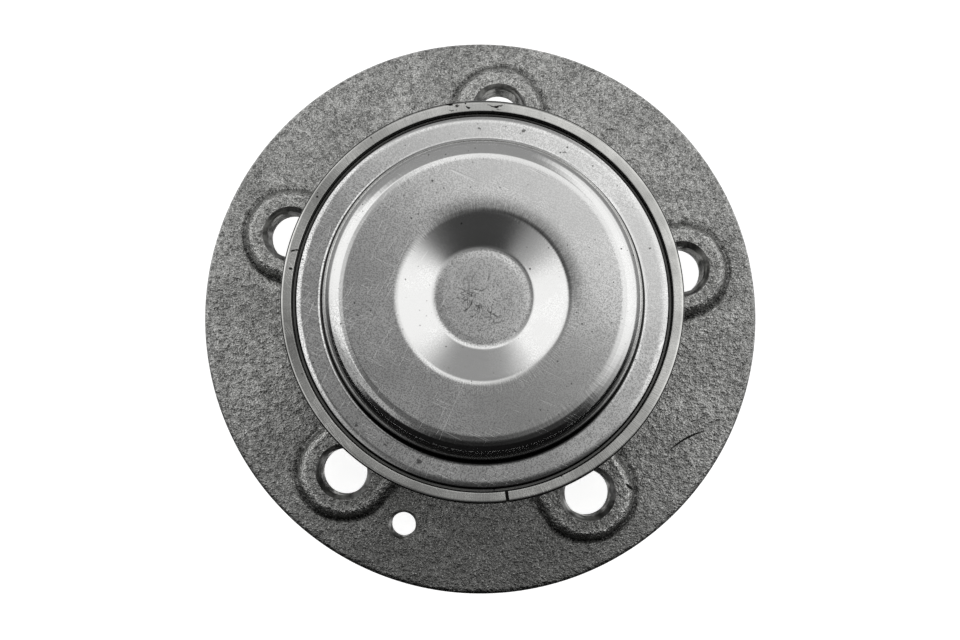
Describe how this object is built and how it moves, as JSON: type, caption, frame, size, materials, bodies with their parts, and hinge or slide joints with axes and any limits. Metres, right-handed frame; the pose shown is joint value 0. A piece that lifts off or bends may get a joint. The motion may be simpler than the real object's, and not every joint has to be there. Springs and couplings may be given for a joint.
{
  "type": "wheel hub bearing",
  "caption": "Flanged wheel hub turning in a double-row ball bearing, with a cylindrical outer ring and a domed sensor cap.",
  "frame": {"origin": "centre of the wheel-bolt circle, in the face that the wheel is bolted against", "axes": "+Z along the axle line, inboard towards the sensor cap; +Y through the first wheel-bolt hole"},
  "size_m": [0.1504, 0.1504, 0.089],
  "materials": {
    "forged_steel": "rough forged skin, dark grey",
    "bearing_steel": "ground, fine circular lay",
    "ball_steel": "polished",
    "cap_steel": "pressed sheet, satin zinc",
    "seal_steel": "satin",
    "seal_rubber": "matte",
    "magnet_rubber": "matte",
    "cage_polymer": "moulded"
  },
  "bodies": {
    "outer": {"outer_ring": "bearing_steel", "end_cap": "cap_steel", "cap_seal": "seal_rubber", "seal_case": "seal_steel", "seal_lip": "seal_rubber"},
    "hub": {"wheel_hub": "forged_steel", "inner_ring": "bearing_steel", "encoder_carrier": "seal_steel", "encoder_magnet": "magnet_rubber", "seal_slinger": "seal_steel"},
    "row_outboard": {"cage_outboard": "cage_polymer", "ball_outboard_01": "ball_steel", "ball_outboard_02": "ball_steel", "ball_outboard_03": "ball_steel", "ball_outboard_04": "ball_steel", "ball_outboard_05": "ball_steel", "ball_outboard_06": "ball_steel", "ball_outboard_07": "ball_steel", "ball_outboard_08": "ball_steel", "ball_outboard_09": "ball_steel", "ball_outboard_10": "ball_steel", "ball_outboard_11": "ball_steel", "ball_outboard_12": "ball_steel", "ball_outboard_13": "ball_steel", "ball_outboard_14": "ball_steel", "ball_outboard_15": "ball_steel"},
    "row_inboard": {"cage_inboard": "cage_polymer", "ball_inboard_01": "ball_steel", "ball_inboard_02": "ball_steel", "ball_inboard_03": "ball_steel", "ball_inboard_04": "ball_steel", "ball_inboard_05": "ball_steel", "ball_inboard_06": "ball_steel", "ball_inboard_07": "ball_steel", "ball_inboard_08": "ball_steel", "ball_inboard_09": "ball_steel", "ball_inboard_10": "ball_steel", "ball_inboard_11": "ball_steel", "ball_inboard_12": "ball_steel", "ball_inboard_13": "ball_steel", "ball_inboard_14": "ball_steel", "ball_inboard_15": "ball_steel"}
  },
  "joints": [
    {"name": "hub_spin", "type": "hinge", "parent": "outer", "child": "hub", "pos_m": [0, 0, 0.03855], "axis": [0, 0, 1], "continuous": true},
    {"name": "row_outboard_orbit", "type": "hinge", "parent": "outer", "child": "row_outboard", "pos_m": [0, 0, 0.0285], "axis": [0, 0, 1], "continuous": true},
    {"name": "row_inboard_orbit", "type": "hinge", "parent": "outer", "child": "row_inboard", "pos_m": [0, 0, 0.0485], "axis": [0, 0, 1], "continuous": true}
  ],
  "couplings": [
    {"joint": "row_outboard_orbit", "follows": "hub_spin", "ratio": 0.4295},
    {"joint": "row_inboard_orbit", "follows": "hub_spin", "ratio": 0.4295}
  ]
}
